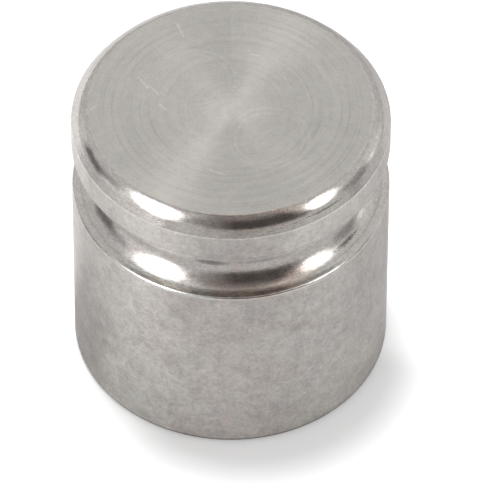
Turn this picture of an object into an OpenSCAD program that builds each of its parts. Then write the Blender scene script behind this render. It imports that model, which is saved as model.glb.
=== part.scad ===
// Cylindrical calibration weight, turned from one bar of stainless steel:
// a plain body, a grip groove below the top, and a head with a polished round edge.
// Millimetres, +Z up. The origin is the centre of the face that it rests on.

/* [Body] */
// Diameter of the body
body_d = 20.2; // [18:0.1:40]
// Height of the body, from the resting face up to the shoulder
body_h = 14; // [4:0.1:40]
// Radius of the edge around the resting face
foot_edge_r = 0.3; // [0:0.05:1.5]
// Radius of the shoulder's outer edge
shoulder_edge_r = 0.2; // [0:0.05:0.8]

/* [Grip groove] */
// Height of the groove, from the shoulder up to the underside of the head
groove_h = 3.5; // [1:0.1:12]
// Diameter of the neck at the bottom of the groove
neck_d = 16.2; // [3:0.1:17.4]
// Radius of the cove that rises from the shoulder to the neck. Where it is wider than
// the shoulder, it meets the shoulder's edge at a slope.
lower_cove_r = 2.4; // [0:0.05:4]
// Radius of the cove between the neck and the underside of the head
upper_cove_r = 1.15; // [0:0.05:2.5]

/* [Head] */
// Diameter of the head
head_d = 20.2; // [18:0.1:40]
// Height of the head
head_h = 3.2; // [2:0.05:20]
// Height of the head's side, from the underside up to the bevel
head_side_h = 2.15; // [0.5:0.05:18]
// Radius of the soft corner between that side and the bevel
head_side_edge_r = 0.15; // [0:0.05:0.6]
// Slope of the bevel between the head's side and the round edge, from upright
head_bevel_angle = 37; // [10:1:60]
// Radius of the polished round edge between the bevel and the top face
head_edge_r = 1.85; // [0.2:0.05:3]
// Angle at which the round edge meets the top face, because the face is turned flat last
head_edge_angle = 22; // [0:1:28]
// Radius of the soft rim between the round edge and the top face
head_rim_r = 0.4; // [0:0.05:1]
// Radius of the head's lower edge
head_lower_edge_r = 0.4; // [0:0.05:1.2]

/* [Hidden] */
$fn = 180;

// Where two rounds touch, one of them is this much larger, so that they cross and leave
// no sliver between them
touch = 0.0002;

head_z = body_h + groove_h;
total_h = head_z + head_h;
shoulder_w = (body_d - neck_d) / 2;
head_overhang = (head_d - neck_d) / 2;

// What a round may take of a wall that it shares with one other round
function share(want, other, wall) = want + other <= wall ? want : wall * want / (want + other);

foot_r = min(share(foot_edge_r, shoulder_edge_r, body_h), body_d / 2);
shoulder_r = min(share(shoulder_edge_r, foot_edge_r, body_h), shoulder_w);
underside_r = min(head_lower_edge_r, head_side_h,
                  share(head_lower_edge_r, upper_cove_r, head_overhang));
upper_cove = min(upper_cove_r, groove_h / 2,
                 share(upper_cove_r, head_lower_edge_r, head_overhang));

// The lower cove may take what the upper one leaves of the groove's height. Its circle
// touches the neck, and the shoulder or the round of the shoulder's edge.
cove_h = groove_h - upper_cove;
widest_cove = cove_h + shoulder_r >= shoulder_w
    ? (pow(cove_h + shoulder_r, 2) + pow(shoulder_w, 2)) / (2 * shoulder_w) - shoulder_r
    : cove_h;
lower_cove = min(lower_cove_r, widest_cove);
cove_x = neck_d / 2 + lower_cove;
flank_run = max(cove_x + shoulder_r - body_d / 2, 0);
flank_angle = acos(flank_run / (lower_cove + shoulder_r + 0.000001));
cove_z = flank_run > 0
    ? body_h - shoulder_r + (lower_cove + shoulder_r) * sin(flank_angle)
    : body_h + lower_cove;
flank_x = flank_run > 0 ? body_d / 2 - shoulder_r + shoulder_r * cos(flank_angle) : cove_x;

// The head's round edge ends at the top face above and passes into the bevel below,
// and the bevel starts at the head's side
edge_r = min(head_edge_r, head_d / 2, (head_h - underside_r) / cos(head_edge_angle));
edge_z = total_h - edge_r * cos(head_edge_angle);
edge_top_angle = 90 - head_edge_angle;
side_z = min(max(head_z + head_side_h, edge_z),
    edge_z + 0.9 * edge_r * sin(head_bevel_angle));
edge_x = head_d / 2
    - (edge_r - (side_z - edge_z) * sin(head_bevel_angle)) / cos(head_bevel_angle);
edge_length = edge_r * (edge_top_angle - head_bevel_angle) * PI / 180;
side_edge_r = head_side_edge_r;
side_edge_z = side_z - side_edge_r * tan(head_bevel_angle / 2);
rim_r = min(head_rim_r, edge_length / 3);
rim_z = total_h - rim_r;
rim_x = edge_x + sqrt(max(pow(edge_r - rim_r, 2) - pow(rim_z - edge_z, 2), 0));

// The waste between a square corner at the origin and the round of radius r that
// replaces it. The material lies towards side[0] along X and side[1] along Y.
module corner_waste(r, side) {
    if (r > 0)
        difference() {
            translate([side[0] > 0 ? 0 : -r, side[1] > 0 ? 0 : -r]) square(r);
            translate([side[0] * r, side[1] * r]) circle(r);
        }
}

// The waste outside a round of radius r at an outer corner that isn't square. The round
// runs around its centre from angle a0 to angle a1.
module round_waste(centre, r, a0, a1) {
    middle = (a0 + a1) / 2;
    if (r > 0 && a1 > a0)
        difference() {
            polygon([centre, for (a = [a0, middle, a1]) centre + 2 * r * [cos(a), sin(a)]]);
            translate(centre) circle(r + touch);
        }
}

// Half section of the body, with both outer edges rounded
module body_section() {
    difference() {
        square([body_d / 2, body_h]);
        translate([body_d / 2, 0]) corner_waste(foot_r, [-1, 1]);
        translate([body_d / 2, body_h]) corner_waste(shoulder_r, [-1, -1]);
    }
}

// Half section of the neck, with a cove at each end
module neck_section() {
    translate([0, body_h]) square([neck_d / 2, groove_h]);
    translate([neck_d / 2, head_z]) corner_waste(upper_cove, [1, -1]);
    difference() {
        translate([0, body_h - shoulder_r]) square([flank_x, cove_z - body_h + shoulder_r]);
        translate([cove_x, cove_z]) circle(lower_cove + touch);
    }
}

// Half section of the head
module head_section() {
    difference() {
        translate([0, head_z]) square([head_d / 2, head_h]);
        translate([head_d / 2, head_z]) corner_waste(underside_r, [-1, 1]);
        polygon([[head_d / 2, side_z],
                 [head_d / 2 - 2 * edge_r * sin(head_bevel_angle),
                  side_z + 2 * edge_r * cos(head_bevel_angle)],
                 [head_d, side_z + 2 * edge_r * cos(head_bevel_angle)],
                 [head_d, side_z]]);
        difference() {
            translate([edge_x, edge_z + edge_r * sin(head_bevel_angle)]) square(2 * edge_r);
            translate([edge_x, edge_z]) circle(edge_r + touch);
        }
        round_waste([head_d / 2 - side_edge_r, side_edge_z], side_edge_r, 0, head_bevel_angle);
        round_waste([rim_x, rim_z], rim_r, atan2(rim_z - edge_z, rim_x - edge_x), 90);
    }
}

// The whole weight, one turned solid
module weight() {
    color("silver")
        rotate_extrude() {
            body_section();
            neck_section();
            head_section();
        }
}

weight();
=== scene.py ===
"""A cylindrical calibration weight in turned stainless steel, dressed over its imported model.

The weight is one solid of revolution: a satin body, a polished grip groove, and a head with a
polished round edge and a flat top face that shows the marks of the facing tool. Sizes are given
in millimetres, as in the part's own source, and meshes are made in metres.
"""

import logging
import math
from dataclasses import dataclass, field
from enum import Enum

import bmesh
import bpy
from mathutils import Matrix, Vector


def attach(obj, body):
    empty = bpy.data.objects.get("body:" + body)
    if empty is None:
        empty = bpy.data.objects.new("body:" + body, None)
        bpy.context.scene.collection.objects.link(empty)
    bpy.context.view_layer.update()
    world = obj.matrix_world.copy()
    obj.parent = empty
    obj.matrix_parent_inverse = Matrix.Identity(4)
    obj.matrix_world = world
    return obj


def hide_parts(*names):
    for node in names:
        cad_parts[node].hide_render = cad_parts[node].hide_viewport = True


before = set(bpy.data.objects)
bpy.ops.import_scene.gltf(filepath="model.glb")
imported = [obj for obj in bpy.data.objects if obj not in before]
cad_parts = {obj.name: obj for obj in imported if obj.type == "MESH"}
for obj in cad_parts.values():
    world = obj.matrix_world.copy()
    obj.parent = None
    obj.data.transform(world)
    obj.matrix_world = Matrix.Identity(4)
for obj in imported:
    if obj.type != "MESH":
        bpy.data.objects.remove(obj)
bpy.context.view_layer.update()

LOG = logging.getLogger("calibration_weight")
MM = 0.001
STRIP_MAP = "OFBake"
DEGREES = 180 / math.pi
MERGE_GAP = 1e-7  # Metres between points that are one.
ON_AXIS = 1e-6  # Metres from the axis, below which a point has no angle.
FLAT = (1.0, 1.0, 0.0)  # Keeps X and Y of a place.
ALL_ROUND = 400.0  # Half width of a mark without ends, in degrees.
ACROSS_RINGS = 0.25  # Share of a turn from the rings to the wide spread of the light.
NOISE_MIDDLE = 0.5
NOISE_CORE = (0.3, 0.7)
SPOT_LOOK = (2.0, 0.6, 0.3)  # Detail, rough and bend of the noise that makes spots.
FRAY_LOOK = (2.0, 0.6)  # Detail and rough of the noise that frays marks.

Socket = bpy.types.NodeSocket
Colour = tuple[float, float, float]
Pair = tuple[float, float]
Layers = tuple[tuple[float, float], ...]


class Surface(Enum):
    """The differently finished surfaces of the weight, each with its own material slot."""

    UNDERSIDE = 0
    BODY = 1
    GROOVE = 2
    HEAD_SIDE = 3
    HEAD_EDGE = 4
    TOP = 5


@dataclass(frozen=True)
class WeightSizes:
    """Sizes of the weight in millimetres, by the names that the part's source gives them."""

    body_d: float = 20.2
    body_h: float = 14.0
    foot_edge_r: float = 0.3
    shoulder_edge_r: float = 0.2
    groove_h: float = 3.5
    neck_d: float = 16.2
    lower_cove_r: float = 2.4
    upper_cove_r: float = 1.15
    head_d: float = 20.2
    head_h: float = 3.2
    head_side_h: float = 2.15
    head_side_edge_r: float = 0.15
    head_bevel_angle: float = 37.0
    head_edge_r: float = 1.85
    head_edge_angle: float = 22.0
    head_rim_r: float = 0.4
    head_lower_edge_r: float = 0.4

    @property
    def head_z(self) -> float:
        """Height of the head's underside."""
        return self.body_h + self.groove_h

    @property
    def total_h(self) -> float:
        """Height of the top face."""
        return self.head_z + self.head_h

    @property
    def cove_x(self) -> float:
        """Radius at which the lower cove's centre lies."""
        return self.neck_d / 2 + self.lower_cove_r

    @property
    def flank_angle(self) -> float:
        """Angle at which the lower cove meets the shoulder's edge, from outwards to upwards."""
        across = self.cove_x + self.shoulder_edge_r - self.body_d / 2
        return math.degrees(math.acos(across / (self.lower_cove_r + self.shoulder_edge_r)))

    @property
    def cove_z(self) -> float:
        """Height of the lower cove's centre."""
        rise = (self.lower_cove_r + self.shoulder_edge_r) * math.sin(math.radians(self.flank_angle))
        return self.body_h - self.shoulder_edge_r + rise

    @property
    def edge_z(self) -> float:
        """Height of the centre of the head's round edge."""
        return self.total_h - self.head_edge_r * math.cos(math.radians(self.head_edge_angle))

    @property
    def edge_x(self) -> float:
        """Radius at which the centre of the head's round edge lies."""
        bevel = math.radians(self.head_bevel_angle)
        rise = self.head_z + self.head_side_h - self.edge_z
        return self.head_d / 2 - (self.head_edge_r - rise * math.sin(bevel)) / math.cos(bevel)

    @property
    def side_edge(self) -> tuple[float, float]:
        """Centre of the soft corner between the head's side and the bevel."""
        drop = self.head_side_edge_r * math.tan(math.radians(self.head_bevel_angle / 2))
        return self.head_d / 2 - self.head_side_edge_r, self.head_z + self.head_side_h - drop

    @property
    def bevel_end(self) -> tuple[float, float]:
        """The point at which the bevel passes into the round edge."""
        bevel = math.radians(self.head_bevel_angle)
        across, up = self.head_edge_r * math.cos(bevel), self.head_edge_r * math.sin(bevel)
        return self.edge_x + across, self.edge_z + up

    @property
    def rim(self) -> tuple[float, float, float]:
        """Centre of the soft rim around the top face, and the angle at which it starts."""
        rise = self.total_h - self.head_rim_r - self.edge_z
        across = math.sqrt((self.head_edge_r - self.head_rim_r) ** 2 - rise**2)
        return self.edge_x + across, self.edge_z + rise, math.degrees(math.atan2(rise, across))


class SectionPen:
    """Draws the half section of a turned piece in the XZ plane, and turns it about Z.

    Each vertex keeps how far along the outline it lies, so that the turned faces can be told
    apart and laid out as one strip.
    """

    support_gap = 0.05 * MM
    support_share = 0.2

    def __init__(self, x: float, z: float) -> None:
        """Starts the outline at a radius and a height in millimetres."""
        self.mesh = bmesh.new()
        self.run = self.mesh.verts.layers.float.new("run")
        self.tip = self.mesh.verts.new((x * MM, 0.0, z * MM))
        self.length = 0.0
        self.ends: list[tuple[float, Surface]] = []

    def line(self, x: float, z: float, surface: Surface) -> None:
        """Draws a straight stretch, with a support point close to each end.

        Args:
            x: Radius of the end point, in millimetres.
            z: Height of the end point, in millimetres.
            surface: The surface that the stretch belongs to.
        """
        start = self.tip.co.copy()
        step = Vector((x * MM, 0.0, z * MM)) - start
        support = min(self.support_gap / step.length, self.support_share)
        for share in (support, 1 - support, 1.0):
            self._reach(start + step * share)
        self.ends.append((self.length, surface))

    def arc(self, x: float, z: float, degrees: float, steps: int, surface: Surface) -> None:
        """Draws a round stretch about a centre.

        Args:
            x: Radius at which the centre lies, in millimetres.
            z: Height of the centre, in millimetres.
            degrees: Angle of the stretch, positive from outwards to upwards.
            steps: Number of short chords.
            surface: The surface that the stretch belongs to.
        """
        centre = Vector((x * MM, 0.0, z * MM))
        step = Matrix.Rotation(-math.radians(degrees) / steps, 3, "Y")
        for _ in range(steps):
            self._reach(centre + step @ (self.tip.co - centre))
        self.ends.append((self.length, surface))

    def turn(self, steps: int) -> bmesh.types.BMesh:
        """Turns the outline a full turn about Z and closes the mesh.

        Args:
            steps: Number of segments around the axis.

        Returns:
            The closed mesh, with its normals pointing outwards.
        """
        mesh = self.mesh
        bmesh.ops.spin(
            mesh,
            geom=mesh.verts[:] + mesh.edges[:],
            cent=(0.0, 0.0, 0.0),
            axis=(0.0, 0.0, 1.0),
            angle=math.tau,
            steps=steps,
            use_merge=True,
        )
        bmesh.ops.remove_doubles(mesh, verts=mesh.verts, dist=MERGE_GAP)
        bmesh.ops.recalc_face_normals(mesh, faces=mesh.faces)
        return mesh

    def surface_at(self, run: float) -> Surface:
        """Returns the surface at a distance along the outline."""
        return next((s for end, s in self.ends if run <= end), self.ends[-1][1])

    def _reach(self, place: Vector) -> None:
        """Extends the outline to a place by one straight edge."""
        made = bmesh.ops.extrude_vert_indiv(self.mesh, verts=[self.tip])["verts"][0]
        self.length += (place - self.tip.co).length
        bmesh.ops.translate(self.mesh, verts=[made], vec=place - made.co)
        made[self.run] = self.length
        self.tip = made


@dataclass(frozen=True)
class Noise:
    """How one noise looks.

    Attributes:
        scale: Spots per unit of the place where it is read.
        detail: Number of finer layers.
        rough: Strength of the finer layers.
        bend: How far the noise is bent by itself.
    """

    scale: float = 1.0
    detail: float = 2.0
    rough: float = 0.5
    bend: float = 0.0


@dataclass(frozen=True)
class Scratch:
    """A short straight scratch on a flat face, in millimetres. Its tone multiplies the brightness."""

    start: Pair
    end: Pair
    tone: float = 1.2
    half_width: float = 0.05


@dataclass(frozen=True)
class Mark:
    """A stain, a streak, a worn spot or a patch of painted light or shade, laid over the metal as a soft
    ellipse.

    Attributes:
        angle: Angle of its centre around the axis, from -Y towards +X, in degrees.
        height: Height of its centre, or its radius on a flat face, in millimetres.
        half_angle: Half of its width, in degrees.
        half_height: Half of its height, in millimetres.
        tone: What the metal's colour is multiplied by.
        soft: Softness of its border, as a share of its size.
        fray: How far the border wanders, as a share of its size.
        grain: Size of that wandering, in millimetres.
    """

    angle: float
    height: float
    half_angle: float
    half_height: float
    tone: Colour
    soft: float = 0.4
    fray: float = 0.5
    grain: float = 0.25


def rgba(colour: Colour) -> tuple[float, float, float, float]:
    """Returns a linear colour with full opacity."""
    return (*colour, 1.0)


def grey(level: float) -> Colour:
    """Returns a neutral colour of one level."""
    return (level, level, level)


class Desk:
    """Lays out the nodes of one material or world, and wires them."""

    def __init__(self, tree: bpy.types.NodeTree) -> None:
        """Takes over a node tree and empties it."""
        self.tree = tree
        self.tree.nodes.clear()

    def node(self, kind: str, **settings: object) -> bpy.types.Node:
        """Adds a node.

        Args:
            kind: Type of the node, without its ShaderNode prefix.
            settings: Properties of the node by name.

        Returns:
            The new node.
        """
        made = self.tree.nodes.new("ShaderNode" + kind)
        for name, value in settings.items():
            setattr(made, name, value)
        return made

    def feed(self, socket: Socket, value: object) -> None:
        """Links a socket to another, or sets it to a plain value."""
        if isinstance(value, Socket):
            self.tree.links.new(value, socket)
        else:
            socket.default_value = value

    def math(self, operation: str, *values: object, clamp: bool = False) -> Socket:
        """Adds a Math node and returns its output."""
        made = self.node("Math", operation=operation, use_clamp=clamp)
        for socket, value in zip(made.inputs, values):
            self.feed(socket, value)
        return made.outputs[0]

    def times(self, first: object, second: object) -> Socket:
        """Returns a product."""
        return self.math("MULTIPLY", first, second)

    def plus(self, first: object, second: object) -> Socket:
        """Returns a sum."""
        return self.math("ADD", first, second)

    def minus(self, first: object, second: object) -> Socket:
        """Returns a difference."""
        return self.math("SUBTRACT", first, second)

    def vector(self, operation: str, *values: object) -> Socket:
        """Adds a Vector Math node and returns its vector output."""
        made = self.node("VectorMath", operation=operation)
        for socket, value in zip(made.inputs, values):
            self.feed(socket, value)
        return made.outputs["Value" if operation in ("LENGTH", "DOT_PRODUCT") else "Vector"]

    def scaled(self, vector: Socket, factor: object) -> Socket:
        """Scales a vector or a colour by one number."""
        made = self.node("VectorMath", operation="SCALE")
        self.feed(made.inputs["Vector"], vector)
        self.feed(made.inputs["Scale"], factor)
        return made.outputs["Vector"]

    def grain(self, place: object, layers: Layers) -> Socket:
        """Adds layers of spots, each by size and strength, up to a brightness of 1 on average."""
        total: object = 1.0
        for size, strength in layers:
            value = self.noise(place, Noise(1 / size, *SPOT_LOOK))
            total = self.plus(total, self.math("MULTIPLY_ADD", value, 2 * strength, -strength))
        return total

    def polar(self, place: Socket) -> list[Socket]:
        """Returns the angle from -Y towards +X in degrees, the radius and the height of a place."""
        x, y, z = self.parts(place)
        angle = self.math("ARCTAN2", x, self.times(y, -1.0))
        radius = self.vector("LENGTH", self.joined(x, y, 0.0))
        return [self.times(angle, DEGREES), radius, z]

    def mark(self, mark: Mark, angle: object, height: object, ragged: object) -> Socket:
        """Makes the mask of one mark.

        Args:
            mark: The mark.
            angle: Angle around the axis, in degrees.
            height: Height or radius that the mark is placed by, in millimetres.
            ragged: Noise around 0.5 that frays the mark's border.

        Returns:
            1 inside the mark and 0 outside.
        """
        across = self.math("MULTIPLY_ADD", angle, 1 / mark.half_angle, -mark.angle / mark.half_angle)
        upright = self.math("MULTIPLY_ADD", height, 1 / mark.half_height, -mark.height / mark.half_height)
        away = self.vector("LENGTH", self.joined(across, upright, 0.0))
        away = self.plus(away, self.math("MULTIPLY_ADD", ragged, 2 * mark.fray, -mark.fray))
        return self.span(away, 1.0 - mark.soft, 1.0 + mark.soft, 1.0, 0.0)

    def scratch(self, scratch: Scratch, place: Socket) -> Socket:
        """Makes the brightness of one scratch, 1 away from it."""
        along = Vector((*scratch.end, 0.0)) - Vector((*scratch.start, 0.0))
        from_start = self.flat_from(place, *scratch.start)
        share = self.vector("DOT_PRODUCT", from_start, tuple(along / along.length_squared))
        nearest = self.scaled(self.joined(*along), self.math("ADD", share, 0.0, clamp=True))
        away = self.vector("LENGTH", self.vector("SUBTRACT", from_start, nearest))
        return self.span(away, 0.0, 2 * scratch.half_width, scratch.tone, 1.0)

    def flat_from(self, place: object, x: float, y: float) -> Socket:
        """Returns the vector from a point of the XY plane to a place, without its Z."""
        return self.vector("MULTIPLY_ADD", place, FLAT, (-x, -y, 0.0))

    def marked(self, colour: object, marks: tuple[Mark, ...], place: object, flat: bool = False) -> object:
        """Lays marks over a colour.

        Args:
            colour: The colour so far.
            marks: The marks, the lowest first.
            place: Place in millimetres.
            flat: Marks are placed by radius and not by height.

        Returns:
            The marked colour.
        """
        angle, radius, height = self.polar(place)
        for mark in marks:
            ragged = self.noise(place, Noise(1 / mark.grain, *FRAY_LOOK))
            mask = self.mark(mark, angle, radius if flat else height, ragged)
            colour = self.blend(mask, colour, rgba(mark.tone), "MULTIPLY")
        return colour

    def parts(self, vector: Socket) -> list[Socket]:
        """Splits a vector into X, Y and Z."""
        made = self.node("SeparateXYZ")
        self.feed(made.inputs[0], vector)
        return list(made.outputs)

    def joined(self, x: object, y: object, z: object) -> Socket:
        """Joins three numbers into a vector."""
        made = self.node("CombineXYZ")
        for socket, value in zip(made.inputs, (x, y, z)):
            self.feed(socket, value)
        return made.outputs[0]

    def noise(self, place: object, look: Noise, coloured: bool = False) -> Socket:
        """Adds a Noise Texture.

        Args:
            place: Where the noise is read.
            look: How it looks.
            coloured: Three values are wanted, as a colour.

        Returns:
            The noise, about 0.5 on average.
        """
        made = self.node("TexNoise")
        self.feed(made.inputs["Vector"], place)
        made.inputs["Scale"].default_value = look.scale
        made.inputs["Detail"].default_value = look.detail
        made.inputs["Roughness"].default_value = look.rough
        made.inputs["Distortion"].default_value = look.bend
        return made.outputs["Color" if coloured else 0]

    def span(
        self, value: object, low: float, high: float, to_low: float = 0.0, to_high: float = 1.0
    ) -> Socket:
        """Maps a range smoothly onto another, held at both ends.

        Args:
            value: The number to map.
            low: Start of its range.
            high: End of its range.
            to_low: Result at the start.
            to_high: Result at the end.

        Returns:
            The mapped number.
        """
        made = self.node("MapRange", interpolation_type="SMOOTHSTEP")
        for name, number in (
            ("Value", value),
            ("From Min", low),
            ("From Max", high),
            ("To Min", to_low),
            ("To Max", to_high),
        ):
            self.feed(made.inputs[name], number)
        return made.outputs[0]

    def blend(self, share: object, first: object, second: object, mode: str = "MIX") -> Socket:
        """Mixes two colours and returns the result."""
        made = self.node("Mix", data_type="RGBA", blend_type=mode)
        self.feed(made.inputs["Factor"], share)
        self.feed(made.inputs[6], first)
        self.feed(made.inputs[7], second)
        return made.outputs[2]

    def bump(self, height: Socket, depth: float) -> Socket:
        """Makes a normal from a height, by what a height of 1 stands for in millimetres."""
        made = self.node("Bump")
        made.inputs["Strength"].default_value = 1.0
        made.inputs["Distance"].default_value = depth * MM
        self.feed(made.inputs["Height"], height)
        return made.outputs["Normal"]


@dataclass(frozen=True)
class Steel:
    """The bare metal that every surface is cut from, and the tints that play over it."""

    name: str = "steel"
    base: Colour = (0.410, 0.391, 0.370)
    warm: Colour = (0.402, 0.368, 0.350)
    cool: Colour = (0.434, 0.418, 0.392)
    glancing: Colour = (0.67, 0.66, 0.66)

    def start(self) -> tuple[Desk, bpy.types.Material, bpy.types.Node, Socket]:
        """Makes a metal material.

        Returns:
            Its node desk, the material, its shader and the place in millimetres.
        """
        material = bpy.data.materials.new(self.name)
        material.use_nodes = True
        desk = Desk(material.node_tree)
        shader = desk.node("BsdfPrincipled")
        shader.inputs["Metallic"].default_value = 1.0
        shader.inputs["Specular Tint"].default_value = rgba(self.glancing)
        out = desk.node("OutputMaterial")
        desk.tree.links.new(shader.outputs[0], out.inputs["Surface"])
        place = desk.scaled(desk.node("TexCoord").outputs["Object"], 1 / MM)
        return desk, material, shader, place


@dataclass(frozen=True)
class WallFinish(Steel):
    """What the satin and the polished walls share: clouds, spots, streaks, specks and marks.

    Attributes:
        rough_drop: How much smoother the smoothest parts are.
        rough_rise: How much rougher the roughest parts are.
        warm_angle: Angle from the front up to which the metal is warm in tint, in degrees.
        warm_fade: Angle over which that fades.
        side_share: How much the sides lose of the warm tint.
        cloud_range: Where the clouds turn from one tint to the other.
        speck_range: Where a speck starts and is full.
        speck_depth: Share of the brightness that a speck takes.
        layers: Size and strength of the spots in brightness.
    """

    roughness: float = 0.3
    rough_drop: float = 0.0
    rough_rise: float = 0.05
    warm_angle: float = 20.0
    warm_fade: float = 45.0
    side_share: float = 0.25
    cloud: Noise = Noise()
    cloud_range: Pair = (0.4, 0.6)
    speck: Noise = Noise()
    speck_range: Pair = (0.7, 0.8)
    speck_depth: float = 0.3
    layers: Layers = ()
    streak_sizes: tuple[float, ...] = ()
    streaks: float = 0.1
    marks: tuple[Mark, ...] = ()

    def clouds(self, desk: Desk, place: object, angle: object) -> Socket:
        """Returns the noise of the clouds, raised away from the front."""
        away = desk.math("ABSOLUTE", angle)
        side = desk.span(away, self.warm_angle, self.warm_angle + self.warm_fade, 0.0, self.side_share)
        return desk.plus(desk.noise(place, self.cloud), side)

    def spots(self, desk: Desk, place: object, streak_place: object) -> Socket:
        """Returns the brightness of spots, and of streaks read at a drawn-out place."""
        streaks = desk.grain(streak_place, tuple((size, self.streaks) for size in self.streak_sizes))
        return desk.times(desk.grain(place, self.layers), streaks)

    def colour(self, desk: Desk, place: object, clouds: object, tone: object) -> Socket:
        """Returns the colour of the wall from its clouds and brightness, with specks and marks."""
        colour = desk.blend(desk.span(clouds, *self.cloud_range), rgba(self.warm), rgba(self.base))
        speck = desk.span(desk.noise(place, self.speck), *self.speck_range)
        tone = desk.times(tone, desk.math("MULTIPLY_ADD", speck, -self.speck_depth, 1.0))
        return desk.marked(desk.scaled(colour, tone), self.marks, place)

    def roughened(self, desk: Desk, value: object) -> Socket:
        """Returns the roughness where a noise has a value."""
        smoothest, roughest = self.roughness - self.rough_drop, self.roughness + self.rough_rise
        return desk.span(value, *NOISE_CORE, smoothest, roughest)


@dataclass(frozen=True)
class SatinFinish(WallFinish):
    """A finely turned and rubbed wall with faint clouds, veins, upright streaks and specks.

    Attributes:
        vein_range: Distance from the vein noise's middle, at a vein's core and at its border.
        vein_glow: What a vein adds to the brightness.
        worn_below: Height below which the wall is worn rougher, in millimetres; none below 0.
        worn_border: Soft border of that height.
        worn_roughness: What the wear adds to the roughness.
    """

    name: str = "satin_steel"
    roughness: float = 0.34
    warm_angle: float = 12.0
    cloud: Noise = Noise(0.45, 4.0, 0.6, 0.4)
    cloud_range: Pair = (0.40, 0.64)
    speck: Noise = Noise(3.4, 3.0, 0.7)
    speck_range: Pair = (0.68, 0.76)
    layers: Layers = ((3.0, 0.15), (0.9, 0.24), (0.28, 0.26), (0.10, 0.22))
    streak_sizes: tuple[float, ...] = (0.45, 0.16)
    streaks: float = 0.07
    streak_stretch: tuple[float, float, float] = (1.0, 1.0, 0.22)
    vein: Noise = Noise(0.55, 2.0, 0.5, 0.8)
    vein_range: Pair = (0.004, 0.022)
    vein_glow: float = 0.06
    line: Noise = Noise(1.0, 3.0, 0.6)
    line_stretch: tuple[float, float, float] = (0.25, 0.25, 14.0)
    line_depth: float = 0.0006
    worn_below: float = -1.0
    worn_border: Pair = (-0.05, 0.15)
    worn_roughness: float = 0.3

    def material(self) -> bpy.types.Material:
        """Returns the material of a satin wall."""
        desk, material, shader, place = self.start()
        angle, _, height = desk.polar(place)
        clouds = self.clouds(desk, place, angle)
        tone = self.spots(desk, place, desk.vector("MULTIPLY", place, self.streak_stretch))
        ridge = desk.minus(desk.noise(place, self.vein), NOISE_MIDDLE)
        vein = desk.span(desk.math("ABSOLUTE", ridge), *self.vein_range, self.vein_glow, 0.0)
        tone = desk.plus(tone, vein)
        desk.feed(shader.inputs["Base Color"], self.colour(desk, place, clouds, tone))
        low, high = (self.worn_below + border for border in self.worn_border)
        worn = desk.span(height, low, high, self.worn_roughness, 0.0)
        desk.feed(shader.inputs["Roughness"], desk.plus(self.roughened(desk, clouds), worn))
        fine = desk.noise(desk.vector("MULTIPLY", place, self.line_stretch), self.line)
        desk.feed(shader.inputs["Normal"], desk.bump(fine, self.line_depth))
        return material


@dataclass(frozen=True)
class PolishedFinish(WallFinish):
    """A polished round or groove, a little pitted, that mirrors the lamps with ragged edges.

    Attributes:
        turn_share: How fast streaks and pits change around the axis, per degree.
    """

    name: str = "polished_steel"
    roughness: float = 0.13
    rough_drop: float = 0.03
    cloud: Noise = Noise(0.7, 4.0, 0.6, 0.3)
    cloud_range: Pair = (0.38, 0.62)
    speck: Noise = Noise(4.5, 3.0, 0.7)
    speck_range: Pair = (0.66, 0.74)
    speck_depth: float = 0.35
    layers: Layers = ((1.5, 0.08), (0.4, 0.12), (0.14, 0.16))
    streak_sizes: tuple[float, ...] = (0.12, 0.05)
    turn_share: float = 0.05
    mottle: Noise = Noise(2.0, 4.0, 0.6, 0.6)
    mottle_depth: float = 0.0012
    pit: Noise = Noise(1 / 0.12, 3.0, 0.7)
    pit_depth: float = 0.0030

    def material(self) -> bpy.types.Material:
        """Returns the material of a polished surface."""
        desk, material, shader, place = self.start()
        angle, radius, height = desk.polar(place)
        clouds = self.clouds(desk, place, angle)
        rings = desk.joined(desk.times(angle, self.turn_share), radius, height)
        tone = self.spots(desk, place, rings)
        desk.feed(shader.inputs["Base Color"], self.colour(desk, place, clouds, tone))
        mottle = desk.noise(place, self.mottle)
        desk.feed(shader.inputs["Roughness"], self.roughened(desk, mottle))
        pits = desk.noise(rings, self.pit)
        ground = desk.math("MULTIPLY_ADD", pits, self.pit_depth / self.mottle_depth, mottle)
        desk.feed(shader.inputs["Normal"], desk.bump(ground, self.mottle_depth))
        return material


@dataclass(frozen=True)
class Line:
    """A thin broken line on a face.

    Attributes:
        half_width: Half of its width, at its core and at its border, in millimetres.
        glow: What it adds to the brightness.
        gaps: Where in the noise of the gaps it starts to show and shows fully.
    """

    half_width: Pair
    glow: float
    gaps: Pair

    def drawn(self, desk: Desk, away: object, broken: object) -> Socket:
        """Returns what the line adds, by the distance from it and the noise of the gaps."""
        line = desk.span(desk.math("ABSOLUTE", away), *self.half_width, self.glow, 0.0)
        return desk.times(line, desk.span(broken, *self.gaps))


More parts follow.
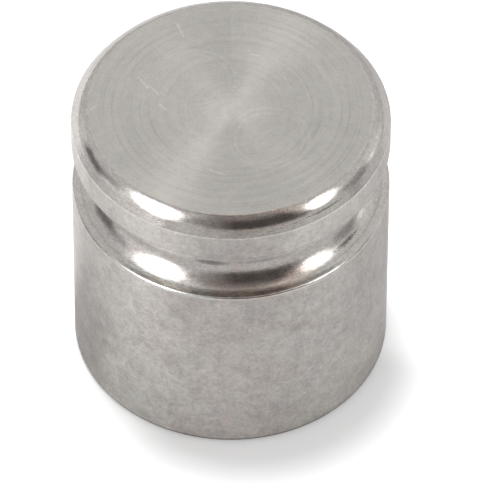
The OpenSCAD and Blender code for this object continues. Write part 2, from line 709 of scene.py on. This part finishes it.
@dataclass(frozen=True)
class FacedFinish(Steel):
    """A face turned flat, whose fine rings spread the light across themselves.

    Attributes:
        spread: How much wider the light spreads across the rings than along them.
        wander: How far the rings' direction wanders, in millimetres.
        ring_layers: Rings per millimetre and strength of each layer of fine rings.
        ring_turn: How much the fine rings change on the way around.
        ring_radii: Radii of the single dark rings, in millimetres.
        swirls: X, Y and radius of the off-centre arcs, in millimetres.
    """

    name: str = "faced_steel"
    roughness: float = 0.3
    spread: float = 0.9
    wander: float = 2.6
    wobble: Noise = Noise(5 / 0.35, 3.0)
    layers: Layers = ((2.5, 0.06), (0.5, 0.10), (0.14, 0.14))
    ring: Noise = Noise(1.0, 3.0, 0.7)
    ring_layers: Layers = ((1.3, 0.08), (5.0, 0.09))
    ring_turn: float = 0.6
    ring_radii: tuple[float, ...] = ()
    ring_line: Line = Line((0.02, 0.09), -0.075, (0.35, 0.6))
    swirls: tuple[tuple[float, float, float], ...] = ()
    swirl_bend: Noise = Noise(0.35)
    swirl_wander: float = 0.15
    swirl_line: Line = Line((0.03, 0.13), 0.065, (0.4, 0.55))
    gaps: Noise = Noise(0.6)
    scratches: tuple[Scratch, ...] = ()
    marks: tuple[Mark, ...] = ()

    def material(self) -> bpy.types.Material:
        """Returns the material of a turned face."""
        desk, material, shader, place = self.start()
        tone = self._lines(desk, place, self._fine_rings(desk, place))
        for scratch in self.scratches:
            tone = desk.times(tone, desk.scratch(scratch, place))
        colour = desk.scaled(desk.joined(*self.cool), tone)
        desk.feed(shader.inputs["Base Color"], desk.marked(colour, self.marks, place, flat=True))
        shader.inputs["Roughness"].default_value = self.roughness
        shader.inputs["Anisotropic"].default_value = self.spread
        shader.inputs["Anisotropic Rotation"].default_value = ACROSS_RINGS
        wobble = desk.noise(place, self.wobble, coloured=True)
        shift = desk.vector("SUBTRACT", wobble, grey(NOISE_MIDDLE))
        x, y, _ = desk.parts(desk.vector("ADD", place, desk.scaled(shift, self.wander)))
        along = desk.joined(desk.times(y, -1.0), x, 0.0)
        desk.feed(shader.inputs["Tangent"], desk.vector("NORMALIZE", along))
        return material

    def _fine_rings(self, desk: Desk, place: Socket) -> object:
        """Returns the brightness of the spots and the fine rings, 1 on average."""
        radius = desk.polar(place)[1]
        around = desk.vector("NORMALIZE", desk.vector("MULTIPLY", place, FLAT))
        turn = desk.parts(desk.scaled(around, self.ring_turn))
        tone = desk.grain(place, self.layers)
        for density, strength in self.ring_layers:
            ring_place = desk.joined(turn[0], turn[1], desk.times(radius, density))
            ring = desk.noise(ring_place, self.ring)
            tone = desk.plus(tone, desk.math("MULTIPLY_ADD", ring, 2 * strength, -strength))
        return tone

    def _lines(self, desk: Desk, place: Socket, tone: object) -> object:
        """Adds the single rings and the off-centre arcs to a brightness."""
        broken = desk.noise(place, self.gaps)
        radius = desk.polar(place)[1]
        for ring_radius in self.ring_radii:
            away = desk.minus(radius, ring_radius)
            tone = desk.plus(tone, self.ring_line.drawn(desk, away, broken))
        bend = desk.noise(place, self.swirl_bend)
        bend = desk.math("MULTIPLY_ADD", bend, 2 * self.swirl_wander, -self.swirl_wander)
        for x, y, size in self.swirls:
            reach = desk.vector("LENGTH", desk.flat_from(place, x, y))
            away = desk.plus(desk.minus(reach, size), bend)
            tone = desk.plus(tone, self.swirl_line.drawn(desk, away, broken))
        return tone


# Painted shade on the right side, painted light low on the right and painted shade low on the left,
# a painted highlight line and a painted shade line along the foot, painted shade on the left side,
# a cloud, a light spot and a stain above the foot.
BODY_MARKS_AND_PAINTED_LIGHT = (
    Mark(42.0, 10.5, 26.0, 4.5, grey(0.91), 0.8, 0.3, 1.5),
    Mark(47.0, 2.8, 20.0, 2.8, (1.065, 1.07, 1.07), 0.8, 0.3, 1.5),
    Mark(-42.0, 2.8, 18.0, 2.8, (0.94, 0.955, 0.95), 0.8, 0.3, 1.5),
    Mark(0.0, 0.45, ALL_ROUND, 0.08, (1.12, 1.12, 1.11), 0.5, 0.3, 0.5),
    Mark(0.0, 0.16, ALL_ROUND, 0.12, (0.42, 0.43, 0.43), 0.3, 0.1, 0.5),
    Mark(-61.0, 6.0, 16.0, 8.0, grey(0.92), 0.8, 0.3, 1.5),
    Mark(-30.0, 9.5, 8.0, 2.5, (0.94, 0.93, 0.93), 0.8, 0.5, 0.9),
    Mark(-3.0, 13.0, 5.0, 0.55, grey(1.10), 0.8, 1.2, 0.3),
    Mark(40.0, 0.35, 50.0, 0.2, (0.80, 0.79, 0.78), 0.9, 1.5, 0.3),
)
# Painted highlight lines along the head's lower and upper corners.
HEAD_PAINTED_HIGHLIGHTS = (
    Mark(0.0, 17.66, ALL_ROUND, 0.07, grey(1.35), 0.6, 0.3, 0.5),
    Mark(0.0, 19.65, ALL_ROUND, 0.05, (1.28, 1.27, 1.26), 0.6, 0.5, 0.6),
)
# Painted shade on the left side, a brown band and a band of painted light above the shoulder,
# specks at the right, the shoulder's line, and two spots of painted shade below the head.
GROOVE_MARKS_AND_PAINTED_LIGHT = (
    Mark(-62.0, 15.0, 17.0, 1.0, grey(0.93), 0.8, 0.3, 1.5),
    Mark(12.0, 14.35, 21.0, 0.5, (0.97, 0.86, 0.81), 0.5, 0.4, 0.4),
    Mark(2.0, 14.03, 38.0, 0.17, (1.45, 1.53, 1.54), 0.5, 0.2, 0.3),
    Mark(53.0, 14.33, 6.0, 0.06, (0.35, 0.33, 0.32), 0.3, 2.4, 0.07),
    Mark(0.0, 14.12, ALL_ROUND, 0.02, (0.86, 0.85, 0.84), 0.6, 0.9, 0.5),
    Mark(-8.0, 15.33, 6.5, 0.13, grey(0.55), 0.4, 0.3, 0.5),
    Mark(18.0, 15.36, 12.0, 0.10, grey(0.82), 0.6, 0.5, 0.5),
)
# A brown band, a small stain and specks on the head's round edge.
EDGE_MARKS = (
    Mark(11.0, 20.4, 21.0, 0.5, (0.96, 0.88, 0.84), 0.5, 0.4, 0.4),
    Mark(19.0, 20.6, 3.5, 0.07, (0.72, 0.68, 0.65), 0.6, 1.0, 0.2),
    Mark(37.0, 20.03, 7.0, 0.04, (0.50, 0.48, 0.47), 0.3, 2.4, 0.08),
)
# A painted highlight in the middle of the top face, painted shade on its two sides and painted
# light at its back.
TOP_PAINTED_LIGHT_AND_SHADE = (
    Mark(0.0, 0.0, ALL_ROUND, 4.5, grey(1.02), 0.9, 0.2, 1.5),
    Mark(0.0, 0.0, ALL_ROUND, 1.4, grey(1.13), 0.8, 0.4, 0.8),
    Mark(75.0, 6.5, 50.0, 4.5, grey(0.915), 0.7, 0.3, 1.5),
    Mark(-78.0, 7.5, 30.0, 3.5, grey(0.935), 0.7, 0.3, 1.5),
    Mark(180.0, 6.5, 22.0, 3.5, grey(1.05), 0.7, 0.3, 1.5),
)
TOP_RINGS = (4.1, 5.16, 5.74, 6.28, 6.99, 7.5, 8.05, 8.3)
TOP_SWIRLS = ((2.4, -2.6, 2.15), (2.4, -2.5, 2.5), (-2.2, 2.4, 2.1), (-2.2, 2.4, 2.5))
TOP_SCRATCHES = (
    Scratch((-5.85, 2.61), (-5.21, 1.68)),
    Scratch((-5.14, 1.85), (-4.57, 1.17)),
    Scratch((-4.5, 0.32), (-4.05, -0.19)),
    Scratch((-1.32, -5.23), (-0.38, -5.64)),
    Scratch((-3.42, 7.19), (-3.03, 6.16)),
    Scratch((1.22, 4.63), (1.79, 4.46)),
    Scratch((-8.84, -0.13), (-8.53, 0.12)),
    Scratch((3.56, 2.33), (4.01, 1.82), 0.90),
)


@dataclass
class TurnedWeight:
    """The whole weight: one closed turned mesh in the place of its CAD node."""

    sizes: WeightSizes = field(default_factory=WeightSizes)
    node: str = "weight"
    segments: int = 360
    round_steps: int = 24
    lip_steps: int = 10
    edge_steps: int = 8
    corner_steps: int = 6

    def section(self) -> SectionPen:
        """Draws the half section, from the resting face's centre up to the top face's."""
        s = self.sizes
        body_r, neck_r, head_r = s.body_d / 2, s.neck_d / 2, s.head_d / 2
        foot_x, foot_z = body_r - s.foot_edge_r, s.foot_edge_r
        shoulder_x, shoulder_z = body_r - s.shoulder_edge_r, s.body_h - s.shoulder_edge_r
        upper_x, upper_z = neck_r + s.upper_cove_r, s.head_z - s.upper_cove_r
        lip_x, lip_z = head_r - s.head_lower_edge_r, s.head_z + s.head_lower_edge_r
        rim_x, rim_z, rim_angle = s.rim
        pen = SectionPen(0.0, 0.0)
        pen.line(foot_x, 0.0, Surface.UNDERSIDE)
        pen.arc(foot_x, foot_z, 90, self.edge_steps, Surface.BODY)
        pen.line(body_r, shoulder_z, Surface.BODY)
        pen.arc(shoulder_x, shoulder_z, s.flank_angle, self.edge_steps, Surface.GROOVE)
        pen.arc(s.cove_x, s.cove_z, -s.flank_angle, self.round_steps, Surface.GROOVE)
        pen.arc(upper_x, upper_z, -90, self.round_steps, Surface.GROOVE)
        pen.line(lip_x, s.head_z, Surface.GROOVE)
        pen.arc(lip_x, lip_z, 90, self.lip_steps, Surface.HEAD_SIDE)
        pen.line(head_r, s.side_edge[1], Surface.HEAD_SIDE)
        pen.arc(*s.side_edge, s.head_bevel_angle, self.corner_steps, Surface.HEAD_SIDE)
        pen.line(*s.bevel_end, Surface.HEAD_EDGE)
        pen.arc(s.edge_x, s.edge_z, rim_angle - s.head_bevel_angle, self.round_steps, Surface.HEAD_EDGE)
        pen.arc(rim_x, rim_z, 90 - rim_angle, self.edge_steps, Surface.HEAD_EDGE)
        pen.line(0.0, s.total_h, Surface.TOP)
        return pen

    def materials(self) -> dict[Surface, bpy.types.Material]:
        """Returns the material of each surface."""
        finishes = {
            Surface.UNDERSIDE: FacedFinish(name="faced_underside", roughness=0.42, spread=0.5),
            # Besides a stain, the body's marks paint shade and light into its colour.
            Surface.BODY: SatinFinish(marks=BODY_MARKS_AND_PAINTED_LIGHT),
            # Besides specks, the groove's marks paint shade and light into its colour.
            Surface.GROOVE: PolishedFinish(
                roughness=0.15, pit_depth=0.0045, streaks=0.22, marks=GROOVE_MARKS_AND_PAINTED_LIGHT
            ),
            # The head side's marks are painted highlight lines.
            Surface.HEAD_SIDE: SatinFinish(
                name="satin_head", roughness=0.28, worn_below=17.75, marks=HEAD_PAINTED_HIGHLIGHTS
            ),
            Surface.HEAD_EDGE: PolishedFinish(name="polished_edge", streaks=0.24, marks=EDGE_MARKS),
            # The top's marks paint a highlight, shade and light into its colour.
            Surface.TOP: FacedFinish(
                name="faced_top",
                ring_radii=TOP_RINGS,
                swirls=TOP_SWIRLS,
                scratches=TOP_SCRATCHES,
                marks=TOP_PAINTED_LIGHT_AND_SHADE,
            ),
        }
        return {surface: finish.material() for surface, finish in finishes.items()}

    def build(self) -> bpy.types.Object:
        """Makes the weight, dresses it, puts it in the CAD node's place and returns it."""
        pen = self.section()
        mesh = pen.turn(self.segments)
        self._sort_faces(mesh, pen)
        self._lay_strip(mesh, pen)
        data = bpy.data.meshes.new("turned_weight")
        for _, material in sorted(self.materials().items(), key=lambda item: item[0].value):
            data.materials.append(material)
        mesh.to_mesh(data)
        mesh.free()
        piece = linked("turned_weight", data)
        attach(piece, "root")
        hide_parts(self.node)
        return piece

    def _sort_faces(self, mesh: bmesh.types.BMesh, pen: SectionPen) -> None:
        """Gives each face the slot of its surface, and smooth shading."""
        for face in mesh.faces:
            run = sum(v[pen.run] for v in face.verts) / len(face.verts)
            face.material_index = pen.surface_at(run).value
            face.smooth = True

    def _lay_strip(self, mesh: bmesh.types.BMesh, pen: SectionPen) -> None:
        """Lays the surface out as one strip: once around along U, up the outline along V."""
        layer = mesh.loops.layers.uv.new(STRIP_MAP)
        for face in mesh.faces:
            centre = face.calc_center_median()
            middle = math.atan2(centre.y, centre.x)
            for loop in face.loops:
                place = loop.vert.co
                angle = middle
                if place.xy.length > ON_AXIS:
                    swing = math.atan2(place.y, place.x) - middle
                    angle += (swing + math.pi) % math.tau - math.pi
                loop[layer].uv = (angle / math.tau + 0.5, loop.vert[pen.run] / pen.length)


@dataclass(frozen=True)
class Softbox:
    """A flat round lamp that faces the weight.

    Attributes:
        azimuth: Degrees from the camera's side towards its right.
        elevation: Degrees above the horizon.
        mirrored: The metal mirrors it. If not, it only lights matt surfaces.
    """

    name: str
    azimuth: float
    elevation: float
    width: float
    height: float
    glow: float
    distance: float = 0.6
    tilt: float = 0.0
    mirrored: bool = True

    def place(self) -> bpy.types.Object:
        """Hangs the lamp and returns it."""
        lamp = bpy.data.lights.new(self.name, "AREA")
        lamp.shape = "ELLIPSE"
        lamp.size = self.width
        lamp.size_y = self.height
        face = math.pi * self.width * self.height / 4
        lamp.energy = self.glow * face * math.pi
        obj = linked(self.name, lamp)
        towards = direction(self.azimuth, self.elevation)
        turn = towards.to_track_quat("Z", "Y").to_matrix().to_4x4()
        roll = Matrix.Rotation(math.radians(self.tilt), 4, "Z")
        obj.matrix_world = Matrix.Translation(towards * self.distance) @ turn @ roll
        obj.visible_camera = False
        obj.visible_glossy = self.mirrored
        obj.visible_diffuse = not self.mirrored
        return obj


def linked(name: str, data: bpy.types.ID) -> bpy.types.Object:
    """Makes an object of some data and links it to the scene."""
    made = bpy.data.objects.new(name, data)
    bpy.context.scene.collection.objects.link(made)
    return made


def direction(azimuth: float, elevation: float) -> Vector:
    """Returns the unit vector from the weight towards an azimuth and an elevation in degrees."""
    a, e = math.radians(azimuth), math.radians(elevation)
    return Vector((math.sin(a) * math.cos(e), -math.cos(a) * math.cos(e), math.sin(e)))


@dataclass(frozen=True)
class Patch:
    """A soft-edged part of the room, by its direction from the weight, in degrees."""

    azimuth: float
    elevation: float
    half_width: float
    half_height: float
    soft: float
    level: float


@dataclass
class Room:
    """The room around the weight: pale below and behind, dimmer above and towards the camera."""

    plain: float = 1.0
    diffuse_share: float = 0.6
    patches: tuple[Patch, ...] = (
        Patch(180.0, 48.0, 46.0, 26.0, 20.0, 1.12),
        Patch(-74.0, 27.0, 26.0, 14.0, 14.0, 1.4),
        Patch(-122.0, 12.0, 8.0, 12.0, 8.0, 1.25),
        Patch(116.0, 22.0, 9.0, 14.0, 8.0, 1.25),
        Patch(0.0, 90.0, 180.0, 12.0, 10.0, 0.45),
        Patch(-18.0, 60.0, 16.0, 22.0, 10.0, 0.55),
        Patch(16.0, 54.0, 36.0, 25.0, 18.0, 0.4),
        Patch(24.0, 45.0, 29.0, 17.0, 14.0, 0.14),
        Patch(-92.0, 31.0, 10.0, 9.0, 10.0, 0.7),
        Patch(-104.0, 19.0, 11.0, 9.0, 8.0, 0.3),
        Patch(91.0, 20.0, 10.0, 11.0, 8.0, 0.5),
    )

    def build(self) -> None:
        """Makes the world."""
        world = bpy.data.worlds.new("room")
        bpy.context.scene.world = world
        world.use_nodes = True
        desk = Desk(world.node_tree)
        x, y, z = desk.parts(desk.vector("NORMALIZE", desk.node("TexCoord").outputs["Generated"]))
        elevation = desk.times(desk.math("ARCSINE", z), DEGREES)
        azimuth = desk.math("ARCTAN2", x, desk.times(y, -1.0))
        azimuth = desk.times(azimuth, DEGREES)
        level: object = self.plain
        for patch in self.patches:
            level = self._paint(desk, level, patch, azimuth, elevation)
        path = desk.node("LightPath").outputs
        share = desk.span(path["Is Diffuse Ray"], 0.0, 1.0, 1.0, self.diffuse_share)
        level = desk.times(level, share)
        to_white = desk.times(path["Is Camera Ray"], desk.minus(1.0, level))
        back = desk.node("Background")
        back.inputs["Color"].default_value = rgba(grey(1.0))
        desk.feed(back.inputs["Strength"], desk.plus(level, to_white))
        out = desk.node("OutputWorld")
        desk.tree.links.new(back.outputs[0], out.inputs["Surface"])

    def _paint(self, desk: Desk, level: object, patch: Patch, azimuth: Socket, elevation: Socket) -> Socket:
        """Lays one patch over the room's level, by the ray's azimuth and elevation in degrees."""
        away = desk.minus(azimuth, patch.azimuth)
        away = desk.math("ABSOLUTE", desk.math("WRAP", away, 180.0, -180.0))
        above = desk.math("ABSOLUTE", desk.minus(elevation, patch.elevation))
        half_soft = patch.soft / 2
        across = desk.span(away, patch.half_width - half_soft, patch.half_width + half_soft, 1.0, 0.0)
        upright = desk.span(above, patch.half_height - half_soft, patch.half_height + half_soft, 1.0, 0.0)
        mask = desk.times(across, upright)
        change = desk.times(mask, desk.minus(patch.level, level))
        return desk.plus(level, change)


@dataclass(frozen=True)
class Zone:
    """A part of the floor around the weight whose level differs, with soft borders.

    Attributes:
        lift: What the zone adds to the level.
        x: Where the zone starts and is full, by the X of the direction from the axis.
        y: The same, by the Y of that direction.
        reach: The same, by the distance from the axis in millimetres.
    """

    lift: float
    x: Pair | None = None
    y: Pair | None = None
    reach: Pair | None = None


@dataclass
class Floor:
    """A pale floor that keeps the weight's shadow and is white elsewhere.

    Attributes:
        lift: What it glows by for camera rays.
        clear_zones: Where that is more, so that the shadow is weaker.
        mirrored_lift: What it glows by for mirrored rays.
        mirrored_zones: Where that differs.
    """

    half_width: float = 2.0
    paint: Colour = (0.86, 0.86, 0.865)
    lift: float = 0.29
    clear_zones: tuple[Zone, ...] = (
        Zone(0.10, x=(-0.35, -0.65)),
        Zone(0.18, x=(0.2, 0.6), y=(-0.38, -0.12)),
    )
    mirrored_lift: float = 0.28
    mirrored_zones: tuple[Zone, ...] = (
        # Left of the weight.
        Zone(0.14, x=(-0.35, -0.85)),
        Zone(-0.28, x=(-0.35, -0.85), y=(-0.55, -0.3), reach=(19.0, 15.0)),
        Zone(0.38, x=(-0.35, -0.85), y=(0.12, 0.36)),
        Zone(0.57, x=(-0.35, -0.85), y=(0.12, 0.36), reach=(20.0, 16.0)),
        # Right of it, behind it and in front of it.
        Zone(-0.055, x=(0.35, 0.8), reach=(20.0, 17.0)),
        Zone(0.62, x=(0.25, -0.3), y=(0.6, 0.96)),
        Zone(-0.08, y=(-0.75, -0.99)),
        # Away from it: darker in front and behind, lighter at the sides.
        Zone(-0.12, reach=(17.0, 22.0)),
        Zone(0.24, x=(0.35, 0.7), reach=(17.0, 22.0)),
        Zone(0.24, x=(-0.35, -0.7), reach=(17.0, 22.0)),
        Zone(0.16, x=(-0.35, -0.65), y=(-0.3, -0.5), reach=(17.0, 22.0)),
        # Next to it: darker at the left, lighter elsewhere.
        Zone(-0.1, reach=(15.0, 11.0)),
        Zone(0.3, x=(-0.95, -0.3), reach=(15.0, 11.0)),
    )

    def build(self) -> bpy.types.Object:
        """Makes the floor and returns it."""
        mesh = bmesh.new()
        bmesh.ops.create_grid(mesh, x_segments=1, y_segments=1, size=self.half_width)
        data = bpy.data.meshes.new("floor")
        mesh.to_mesh(data)
        mesh.free()
        floor = linked("floor", data)
        data.materials.append(self._material())
        return floor

    def _material(self) -> bpy.types.Material:
        """Returns a matt paint that camera and mirrored rays see lifted to white."""
        material = bpy.data.materials.new("floor_paint")
        material.use_nodes = True
        desk = Desk(material.node_tree)
        paint = desk.node("BsdfDiffuse")
        paint.inputs["Color"].default_value = rgba(self.paint)
        path = desk.node("LightPath").outputs
        place = desk.node("TexCoord").outputs["Object"]
        seen = desk.math("MAXIMUM", path["Is Camera Ray"], path["Is Transmission Ray"])
        seen = desk.times(seen, self._level(desk, place, self.lift, self.clear_zones))
        level = self._level(desk, place, self.mirrored_lift, self.mirrored_zones)
        mirrored = desk.times(path["Is Glossy Ray"], level)
        glow = desk.node("Emission")
        desk.feed(glow.inputs["Strength"], desk.plus(seen, mirrored))
        both = desk.node("AddShader")
        desk.tree.links.new(paint.outputs[0], both.inputs[0])
        desk.tree.links.new(glow.outputs[0], both.inputs[1])
        out = desk.node("OutputMaterial")
        desk.tree.links.new(both.outputs[0], out.inputs["Surface"])
        return material

    def _level(self, desk: Desk, place: object, plain: float, zones: tuple[Zone, ...]) -> object:
        """Adds zones to the plain level, by the place on the floor in metres."""
        x, y, _ = desk.parts(desk.vector("NORMALIZE", place))
        reach = desk.vector("LENGTH", desk.scaled(place, 1 / MM))
        level: object = plain
        for zone in zones:
            part: object = zone.lift
            for value, limits in ((x, zone.x), (y, zone.y), (reach, zone.reach)):
                if limits is not None:
                    part = desk.times(desk.span(value, *limits), part)
            level = desk.plus(level, part)
        return level


@dataclass
class ViewCamera:
    """A long lens that looks down on the weight. Places are in millimetres."""

    place: tuple[float, float, float] = (0.0, -327.2, 381.6)
    aim: tuple[float, float, float] = (1.24, 0.0, 7.125)
    roll: float = 0.275
    lens: float = 557.1
    sensor: float = 36.0

    def build(self) -> bpy.types.Object:
        """Sets up the camera and returns it."""
        lens = bpy.data.cameras.new("view")
        lens.lens = self.lens
        lens.sensor_width = self.sensor
        camera = linked("view", lens)
        place = Vector(self.place) * MM
        looking = Vector(self.aim) * MM - place
        turn = looking.to_track_quat("-Z", "Y").to_matrix().to_4x4()
        roll = Matrix.Rotation(math.radians(self.roll), 4, "Z")
        camera.matrix_world = Matrix.Translation(place) @ turn @ roll
        bpy.context.scene.camera = camera
        return camera


@dataclass
class Studio:
    """Floor, room, lamps and camera."""

    floor: Floor = field(default_factory=Floor)
    room: Room = field(default_factory=Room)
    camera: ViewCamera = field(default_factory=ViewCamera)
    lamps: tuple[Softbox, ...] = (
        Softbox("lamp_left", -58.5, 47.0, 0.28, 0.54, 3.5, tilt=28.0),
        Softbox("lamp_left_core", -57.0, 50.0, 0.12, 0.22, 8.0),
        Softbox("lamp_right", 71.0, 45.0, 0.19, 0.37, 2.8, tilt=-28.0),
        Softbox("lamp_far_right", 107.0, 20.0, 0.07, 0.10, 0.7),
        Softbox("lamp_overhead", -153.0, 81.6, 0.10, 0.10, 76.0, mirrored=False),
    )

    def build(self) -> None:
        """Sets the whole studio up."""
        self.floor.build()
        self.room.build()
        for lamp in self.lamps:
            lamp.place()
        self.camera.build()
        bpy.context.scene.view_settings.view_transform = "Standard"


def main() -> None:
    """Builds the weight and its studio."""
    logging.basicConfig(level=logging.INFO, format="%(name)s: %(message)s")
    Studio().build()
    piece = TurnedWeight().build()
    LOG.info("%s: %d faces, %d surfaces", piece.name, len(piece.data.polygons), len(Surface))


if __name__ == "__main__":
    main()
